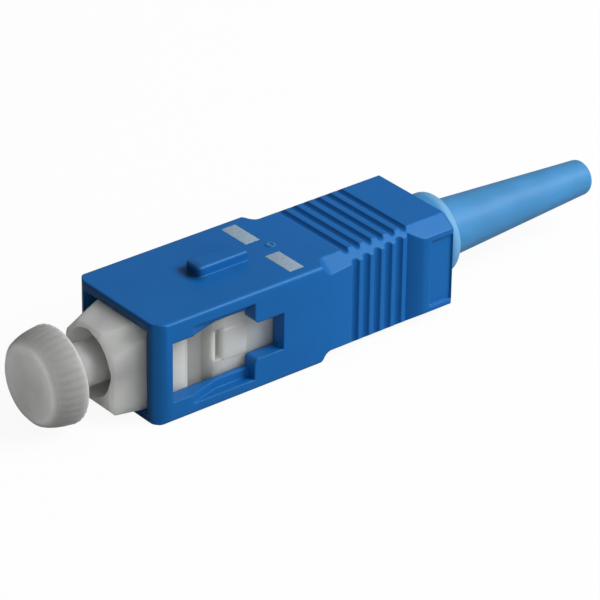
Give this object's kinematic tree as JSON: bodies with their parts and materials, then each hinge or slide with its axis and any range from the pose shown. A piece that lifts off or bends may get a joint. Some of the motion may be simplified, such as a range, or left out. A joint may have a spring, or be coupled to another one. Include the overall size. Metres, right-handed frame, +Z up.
{
  "type": "sc fibre connector",
  "caption": "Push-pull SC fibre optic connector with a blue ribbed sleeve, an off-white inner housing, a short pale blue boot and a translucent dust cap",
  "frame": {"origin": "bottom centre of the whole part", "axes": "+X along the ferrule axis towards the boot, +Z up through the key, +Y across"},
  "size_m": [0.0478, 0.009, 0.0081],
  "materials": {
    "blue_plastic": "moulded satin",
    "off_white_plastic": "moulded satin",
    "zirconia": "polished",
    "bright_metal": "turned",
    "spring_steel": "drawn wire",
    "clear_tubing": "extruded",
    "white_plastic": "moulded satin",
    "boot_elastomer": "soft satin",
    "cap_plastic": "translucent satin"
  },
  "bodies": {
    "housing": {"outer_housing": "blue_plastic"},
    "core": {"plug_frame": "off_white_plastic", "stop_ring": "white_plastic", "boot": "boot_elastomer", "spring": "spring_steel"},
    "ferrule_unit": {"ferrule": "zirconia", "ferrule_flange": "bright_metal", "guide_tube": "clear_tubing"},
    "cap": {"dust_cap": "cap_plastic"}
  },
  "joints": [
    {"name": "sleeve_slide", "type": "slide", "parent": "housing", "child": "core", "axis": [1, 0, 0], "range_m": [-0.0015, 0.0003]},
    {"name": "ferrule_float", "type": "slide", "parent": "core", "child": "ferrule_unit", "axis": [1, 0, 0], "range_m": [0, 0.001], "stiffness_N_per_m": 2000, "deforming": ["spring"]},
    {"name": "cap_pull", "type": "slide", "parent": "ferrule_unit", "child": "cap", "axis": [-1, 0, 0], "range_m": [0, 0.008]}
  ]
}
